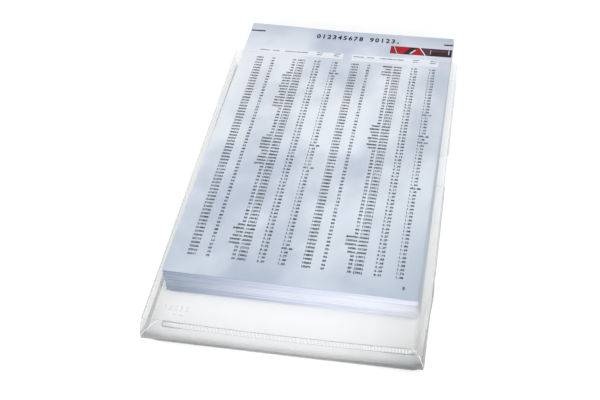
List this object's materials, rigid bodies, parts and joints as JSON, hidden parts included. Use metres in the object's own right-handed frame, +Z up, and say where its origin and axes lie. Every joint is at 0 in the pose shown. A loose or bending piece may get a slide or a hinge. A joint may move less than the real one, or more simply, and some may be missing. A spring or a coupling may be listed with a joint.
{
  "type": "expanding document sleeve",
  "caption": "Clear expanding A4 document sleeve lying flat, open at the top and right, with spine wall, rounded welded bottom and thumb notch, holding a thick stack of printed sheets.",
  "frame": {"origin": "middle of the back film's rectangle, on its underside", "axes": "+X to the open side, +Y to the open mouth, +Z up through the stack of sheets"},
  "size_m": [0.2292, 0.3496, 0.0269],
  "materials": {
    "clear_film": "clear soft film with a fine embossed grain",
    "weld_film": "clear film, welded double, ribbed",
    "paper": "uncoated white office paper, cut edges",
    "printed_paper": "uncoated office paper, printed with columns of numbers"
  },
  "bodies": {
    "sleeve": {"back_film": "clear_film", "front_film": "clear_film", "spine_wall": "clear_film", "spine_fold": "clear_film", "bottom_wall": "clear_film", "bottom_lip": "weld_film", "weld_ribs": "weld_film", "left_gusset": "clear_film", "right_gusset": "clear_film"},
    "front_corner": {"front_flap": "clear_film"},
    "upper_sheaf": {"sheet_packet_01": "paper", "sheet_packet_02": "paper", "sheet_packet_03": "paper", "sheet_packet_04": "paper", "sheet_packet_05": "paper", "sheet_packet_06": "paper", "sheet_packet_07": "paper", "sheet_packet_08": "paper"},
    "middle_sheaf": {"sheet_packet_09": "paper", "sheet_packet_10": "paper", "sheet_packet_11": "paper", "sheet_packet_12": "paper", "sheet_packet_13": "paper", "sheet_packet_14": "paper", "sheet_packet_15": "paper", "sheet_packet_16": "paper"},
    "lower_sheaf": {"sheet_packet_17": "paper", "sheet_packet_18": "paper", "sheet_packet_19": "paper", "sheet_packet_20": "paper", "sheet_packet_21": "paper", "sheet_packet_22": "paper", "sheet_packet_23": "paper", "sheet_packet_24": "paper"},
    "top_sheet": {"printed_sheet": "printed_paper"}
  },
  "joints": [
    {"name": "lower_sheaf_slide", "type": "slide", "parent": "sleeve", "child": "lower_sheaf", "axis": [0, 1, 0], "range_m": [-0.04, 0.28]},
    {"name": "middle_sheaf_slide", "type": "slide", "parent": "sleeve", "child": "middle_sheaf", "axis": [0, 1, 0], "range_m": [-0.04, 0.28]},
    {"name": "upper_sheaf_slide", "type": "slide", "parent": "sleeve", "child": "upper_sheaf", "axis": [0, 1, 0], "range_m": [-0.04, 0.28]},
    {"name": "top_sheet_slide", "type": "slide", "parent": "upper_sheaf", "child": "top_sheet", "axis": [0, 1, 0], "range_m": [0, 0.26]},
    {"name": "front_corner_lift", "type": "hinge", "parent": "sleeve", "child": "front_corner", "pos_m": [-0.085, 0.151, 0.0265], "axis": [0.6701, -0.7423, 0], "range_deg": [0, 60]}
  ]
}
